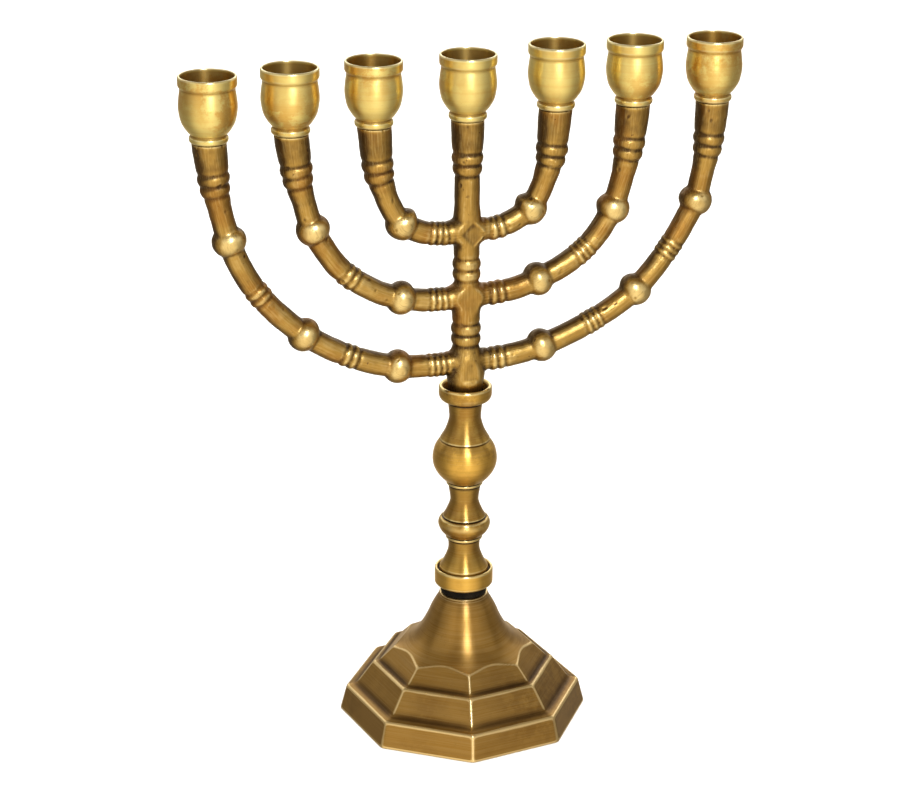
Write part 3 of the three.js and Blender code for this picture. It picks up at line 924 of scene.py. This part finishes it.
def cast_brass(name):
    """Sand-cast brass, filed along the bars: brown on the sides that the file didn't reach,
    partly patina and partly painted shade, and darker towards the arms' tips; patina with
    painted shade in the hollows; a painted highlight on ridges and on the knops' fronts; with
    red-brown pits."""
    n = Nodes(name)
    place = n.place()
    flow = n.attribute("flow", "Vector")
    wear_and_highlight = n.attribute("wear_and_highlight")
    crease_shade_and_patina = n.attribute("crease_shade_and_patina")
    filed = n.attribute("filed")
    polished = n.attribute("polished")
    bright = (0.93, 0.72, 0.32, 1)
    middle = (0.51, 0.31, 0.072, 1)
    orange = (0.38, 0.165, 0.022, 1)
    brown = (0.12, 0.062, 0.014, 1)
    patina_and_shade_dark = (0.03, 0.014, 0.005, 1)
    filing = n.noise(n.stretched(flow, (0.09, 1.7, 1.7)), 1.0, detail=4.0, roughness=0.7)
    grain = n.noise(place, 620.0, detail=3.0, roughness=0.65)
    cloud = n.noise(place, 75.0, detail=4.0, roughness=0.6)
    patches = n.noise(place, 42.0, detail=3.0)
    pits = n.noise(place, 560.0, detail=2.0, roughness=0.5)

    drift = n.math("MULTIPLY", n.math("SUBTRACT", cloud, 0.5), 0.4)
    above = n.add("ShaderNodeSeparateXYZ", {0: place}).outputs["Z"]
    # Darker towards the top of the arms, just below the cups.
    darker_near_tips = n.ramp(above, 0.236, 0.262, 0.0, 0.11)
    # The sides that face neither front nor back are darker: patina with painted shade.
    level = n.math("ADD", n.math("ADD", wear_and_highlight, drift), n.ramp(filed, 0.25, 0.85, -0.32, 0.02))
    # The knops' fronts are lighter: polish with a painted highlight.
    knop_polish_and_highlight = n.math("MULTIPLY", polished, n.ramp(filed, 0.35, 0.9, 0.0, 0.2))
    level = n.math("SUBTRACT", n.math("ADD", level, knop_polish_and_highlight), darker_near_tips)
    face = n.mix(n.ramp(level, 0.34, 0.56), brown, middle)
    face = n.mix(n.math("MULTIPLY", n.ramp(patches, 0.50, 0.62), 0.6), face, orange)
    face = n.mix(n.ramp(level, 0.60, 0.84), face, bright)
    face = n.mix(n.math("MULTIPLY", n.ramp(filing, 0.5, 0.8), 0.35), face, bright)
    face = n.mix(n.math("MULTIPLY", n.ramp(filing, 0.48, 0.28), 0.4), face, brown)
    hollow_shade_and_patina = n.ramp(n.math("SUBTRACT", crease_shade_and_patina, drift), 0.12, 0.8)
    # Patina with painted shade in the hollows.
    face = n.mix(n.math("MULTIPLY", hollow_shade_and_patina, 0.82), face, patina_and_shade_dark)
    hole = n.math("MULTIPLY", n.ramp(pits, 0.72, 0.77), 0.8)
    n.link(n.mix(hole, face, (0.10, 0.03, 0.012, 1)), "Base Color")

    rough = n.ramp(level, 0.35, 0.75, 0.46, 0.26)
    rough = n.math("ADD", rough, n.math("MULTIPLY", n.ramp(filing, 0.3, 0.7), 0.06))
    rough = n.math("ADD", rough, n.math("MULTIPLY", polished, 0.04))
    n.link(n.math("ADD", rough, n.math("MULTIPLY", hole, 0.3), clamp=True), "Roughness")
    n.shader.inputs["Metallic"].default_value = 1.0
    height = n.math("ADD", n.math("MULTIPLY", filing, 0.9), n.math("MULTIPLY", grain, 0.5))
    height = n.math("SUBTRACT", height, n.math("MULTIPLY", hole, 1.5))
    height = n.math("MULTIPLY", height, n.ramp(polished, 0, 1, 1.0, 0.25))
    n.bump(height, 0.5, 0.00014)
    n.shader.inputs["Coat Weight"].default_value = 0.3
    n.shader.inputs["Coat Roughness"].default_value = 0.25
    return n.material


def plain_steel(name):
    n = Nodes(name)
    place = n.place()
    cloud = n.noise(place, 160.0, detail=4.0)
    fine_lines = n.noise(n.stretched(place, (300, 300, 2600)), 1.0)
    colour = n.mix(n.ramp(cloud, 0.35, 0.65), (0.34, 0.33, 0.31, 1), (0.52, 0.51, 0.49, 1))
    n.link(n.mix(n.ramp(cloud, 0.62, 0.75), colour, (0.30, 0.22, 0.13, 1)), "Base Color")
    n.link(n.ramp(fine_lines, 0.3, 0.7, 0.32, 0.48), "Roughness")
    n.shader.inputs["Metallic"].default_value = 1.0
    n.bump(fine_lines, 0.3, 0.00004)
    return n.material


def black_spacer(name):
    n = Nodes(name)
    place = n.place()
    grain = n.noise(place, 1400.0, detail=3.0)
    dust = n.noise(place, 210.0, detail=4.0)
    colour = n.mix(n.ramp(dust, 0.4, 0.75), (0.004, 0.003, 0.002, 1), (0.018, 0.012, 0.006, 1))
    n.link(colour, "Base Color")
    n.link(n.ramp(grain, 0.3, 0.7, 0.5, 0.7), "Roughness")
    n.shader.inputs["Specular IOR Level"].default_value = 0.1
    n.bump(grain, 0.4, 0.00008)
    return n.material


# ---- stage ----

def make_camera():
    """A long lens, a little to the left and above."""
    azimuth = math.radians(-17.92)
    elevation = math.radians(21.16)
    roll = math.radians(0.48)
    back = Vector((math.sin(azimuth) * math.cos(elevation),
                   -math.cos(azimuth) * math.cos(elevation), math.sin(elevation)))
    level = Vector((math.cos(azimuth), math.sin(azimuth), 0))
    upright = back.cross(level)
    right = level * math.cos(roll) + upright * math.sin(roll)
    up = back.cross(right)
    target = level * -2.3 * MM + Vector((0, 0, 149.6 * MM))
    data = bpy.data.cameras.new("camera")
    data.sensor_width = 36
    data.lens = 103.98
    data.clip_end = 20
    camera = bpy.data.objects.new("camera", data)
    turn = Matrix((right, up, back)).transposed().to_4x4()
    camera.matrix_world = Matrix.Translation(target + back * 1.167) @ turn
    bpy.context.scene.collection.objects.link(camera)
    bpy.context.scene.camera = camera
    return level, upright, back


def add_light(name, place, aim, size, power):
    data = bpy.data.lights.new(name, "AREA")
    data.shape = "RECTANGLE"
    data.size, data.size_y = size
    data.energy = power
    light = bpy.data.objects.new(name, data)
    light.location = place
    light.rotation_euler = (Vector(aim) - Vector(place)).to_track_quat("-Z", "Y").to_euler()
    bpy.context.scene.collection.objects.link(light)
    return light


def make_floor():
    bpy.ops.mesh.primitive_plane_add(size=9, location=(0, 0, -0.0002))
    floor = bpy.context.object
    floor.name = "floor"
    n = Nodes("floor_paper")
    cloud = n.noise(n.place(), 2.0)
    n.link(n.mix(cloud, (0.90, 0.90, 0.90, 1), (0.93, 0.93, 0.93, 1)), "Base Color")
    n.shader.inputs["Roughness"].default_value = 0.9
    n.shader.inputs["Specular IOR Level"].default_value = 0.1
    floor.data.materials.append(n.material)
    floor.visible_glossy = False


def make_lights(level, back):
    """Soft boxes round the camera and behind, and an even light from straight above that
    whitens the floor without showing in the metal."""
    middle = Vector((0, 0, 0.17))
    front = Vector((back.x, back.y, 0)).normalized()

    def softbox(name, azimuth, elevation, distance, size, radiance):
        turn = math.radians(azimuth)
        rise = math.radians(elevation)
        flat = front * math.cos(turn) + level * math.sin(turn)
        place = middle + (flat * math.cos(rise) + Vector((0, 0, math.sin(rise)))) * distance
        return add_light(name, place, middle, size, radiance * size[0] * size[1] * math.pi)

    key = softbox("key", 12, 33, 1.3, (0.26, 0.5), 17.0)
    key.data.color = (0.95, 1.0, 1.12)
    softbox("left_fill", -55, 30, 1.5, (1.5, 1.1), 0.5)
    softbox("right_fill", 62, 26, 1.5, (1.3, 1.1), 0.4)
    softbox("back_left", -135, 32, 1.6, (1.3, 0.9), 0.6)
    softbox("back_right", 135, 32, 1.6, (1.3, 0.9), 0.6)
    softbox("back_rim", 180, 24, 1.7, (1.6, 0.35), 2.2)
    data = bpy.data.lights.new("overhead", "SUN")
    data.energy = 3.5
    data.angle = math.radians(110)
    overhead = bpy.data.objects.new("overhead", data)
    overhead.visible_glossy = False
    bpy.context.scene.collection.objects.link(overhead)
    bpy.context.scene.world = studio_world(front)
    bpy.context.scene.view_settings.view_transform = "Standard"


def studio_world(front):
    """Dim warm surroundings with a wide glow, as from a lit table top, in front and a
    smaller one behind. Past the floor's edge the camera itself sees a pale backdrop."""
    world = bpy.data.worlds.new("studio")
    world.use_nodes = True
    tree = world.node_tree
    background = tree.nodes["Background"]
    background.inputs["Color"].default_value = (1.0, 0.89, 0.68, 1)
    direction = tree.nodes.new("ShaderNodeTexCoord").outputs["Generated"]
    level = tree.nodes.new("ShaderNodeValue").outputs[0]
    level.default_value = 0.3
    for side, narrow, wide, glow in ((1, 0.97, 0.25, 0.85), (-1, 0.99, 0.75, 0.5)):
        low = math.radians(26)
        toward = front * math.cos(low) * side - Vector((0, 0, math.sin(low)))
        facing = tree.nodes.new("ShaderNodeVectorMath")
        facing.operation = "DOT_PRODUCT"
        facing.inputs[1].default_value = toward
        tree.links.new(direction, facing.inputs[0])
        ramp = tree.nodes.new("ShaderNodeMapRange")
        ramp.interpolation_type = "SMOOTHSTEP"
        ramp.inputs["From Min"].default_value = wide
        ramp.inputs["From Max"].default_value = narrow
        ramp.inputs["To Max"].default_value = glow
        tree.links.new(facing.outputs["Value"], ramp.inputs["Value"])
        total = tree.nodes.new("ShaderNodeMath")
        tree.links.new(level, total.inputs[0])
        tree.links.new(ramp.outputs["Result"], total.inputs[1])
        level = total.outputs[0]
    tree.links.new(level, background.inputs["Strength"])
    backdrop = tree.nodes.new("ShaderNodeBackground")
    backdrop.inputs["Color"].default_value = (1.0, 1.0, 1.0, 1)
    seen = tree.nodes.new("ShaderNodeMixShader")
    camera_ray = tree.nodes.new("ShaderNodeLightPath").outputs["Is Camera Ray"]
    tree.links.new(camera_ray, seen.inputs[0])
    tree.links.new(background.outputs[0], seen.inputs[1])
    tree.links.new(backdrop.outputs[0], seen.inputs[2])
    tree.links.new(seen.outputs[0], tree.nodes["World Output"].inputs["Surface"])
    return world


# ---- assembly ----

level, upright, back = make_camera()
make_floor()
make_lights(level, back)

base_brass = brushed_brass(
    "base_brass", bright=(0.93, 0.70, 0.34, 1), dull=(0.39, 0.213, 0.044, 1),
    stain=(0.26, 0.13, 0.022, 1), dark=(0.06, 0.027, 0.007, 1), lines=(24, 24, 2200),
    roughness=0.36, anisotropy=0.8, shade_and_dirt=0.85, line_depth=0.00003, lacquer=0.1)
stem_brass = brushed_brass(
    "stem_brass", bright=(0.92, 0.72, 0.32, 1), dull=(0.43, 0.255, 0.045, 1),
    stain=(0.34, 0.165, 0.02, 1), dark=(0.04, 0.018, 0.006, 1), lines=(14, 14, 2200),
    roughness=0.34, anisotropy=0.8, shade_and_dirt=0.95, line_depth=0.00003, lacquer=0.25)
cup_brass = brushed_brass(
    "cup_brass", bright=(0.97, 0.86, 0.50, 1), dull=(0.90, 0.73, 0.25, 1),
    stain=(0.70, 0.37, 0.05, 1), dark=(0.33, 0.16, 0.02, 1), lines=(10, 10, 2400),
    roughness=0.39, anisotropy=0.65, shade_and_dirt=0.7, line_depth=0.00002, lacquer=0.3)
branch_brass = cast_brass("cast_brass")
steel = plain_steel("steel")
spacer_black = black_spacer("spacer")


def finish_piece(obj, body, nodes, material):
    """Gives a piece its material, hides the CAD nodes that it stands for and hangs it under its
    body.
    """
    obj.data.materials.clear()
    obj.data.materials.append(material)
    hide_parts(*nodes)
    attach(obj, body)


finish_piece(make_base(), "base_and_stem", ["base_shell"], base_brass)
finish_piece(make_base_bolt(), "base_and_stem", ["base_bolt"], steel)
finish_piece(make_ring("base_bolt_washer_visual", "base_bolt_washer", THREAD_HOLE, 0.25),
             "base_and_stem", ["base_bolt_washer"], steel)
finish_piece(make_ring("neck_spacer_visual", "neck_spacer", THREAD_HOLE, 0.6),
             "base_and_stem", ["neck_spacer"], spacer_black)
finish_piece(make_stem(), "base_and_stem", ["stem"], stem_brass)
finish_piece(make_stud(), "candelabrum_stud", ["candelabrum_stud"], steel)
finish_piece(make_casting(), "candelabrum",
             ["centre_shaft"] + [f"branch_{name}" for name in BRANCHES],
             branch_brass)
for number in range(1, 8):
    finish_piece(make_cup(number), f"cup_{number}", [f"cup_{number}"], cup_brass)
    finish_piece(make_cup_screw(number), f"cup_screw_{number}", [f"cup_screw_{number}"],
                 steel)
